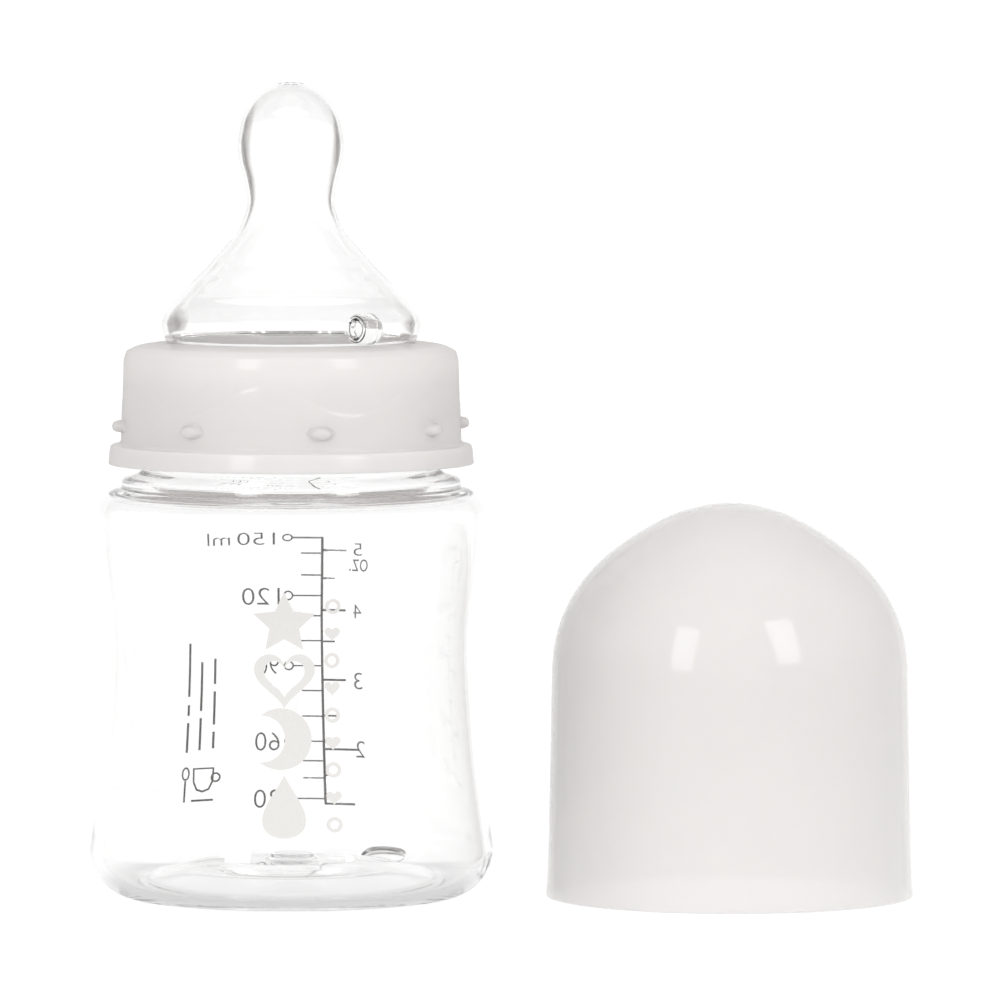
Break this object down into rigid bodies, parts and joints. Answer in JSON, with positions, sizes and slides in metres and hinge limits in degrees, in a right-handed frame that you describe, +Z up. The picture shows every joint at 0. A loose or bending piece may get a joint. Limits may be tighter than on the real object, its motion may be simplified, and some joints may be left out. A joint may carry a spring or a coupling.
{
  "type": "baby bottle",
  "caption": "Wide-neck feeding bottle with a screw ring clamping a soft teat, and a dome cap standing beside it.",
  "frame": {"origin": "on the table, under the centre of the box round the bottle and the cap beside it", "axes": "+Z up, +X from the bottle towards the cap, -Y the front, from which the volume scale is seen through the bottle"},
  "size_m": [0.1352, 0.0662, 0.1336],
  "materials": {
    "clear_plastic": "clear, glossy polypropylene",
    "frosted_plastic": "translucent white, glossy polypropylene",
    "silicone": "clear, smooth silicone rubber"
  },
  "bodies": {
    "bottle_body": {"bottle": "clear_plastic"},
    "teat_body": {"teat": "silicone"},
    "ring_body": {"screw_ring": "frosted_plastic"},
    "cap_body": {"cap": "frosted_plastic"}
  },
  "joints": [
    {"name": "teat_lift", "type": "slide", "parent": "bottle_body", "child": "teat_body", "axis": [0, 0, 1], "range_m": [0, 0.00625]},
    {"name": "ring_turn", "type": "hinge", "parent": "teat_body", "child": "ring_body", "pos_m": [-0.03445, 0, 0.08], "axis": [0, 0, 1], "range_deg": [0, 450]},
    {"name": "cap_lift", "type": "slide", "parent": "bottle_body", "child": "cap_body", "axis": [0, 0, 1], "range_m": [0, 0.135]}
  ],
  "couplings": [
    {"joint": "teat_lift", "follows": "ring_turn", "m_per_rad": 0.00079577}
  ]
}
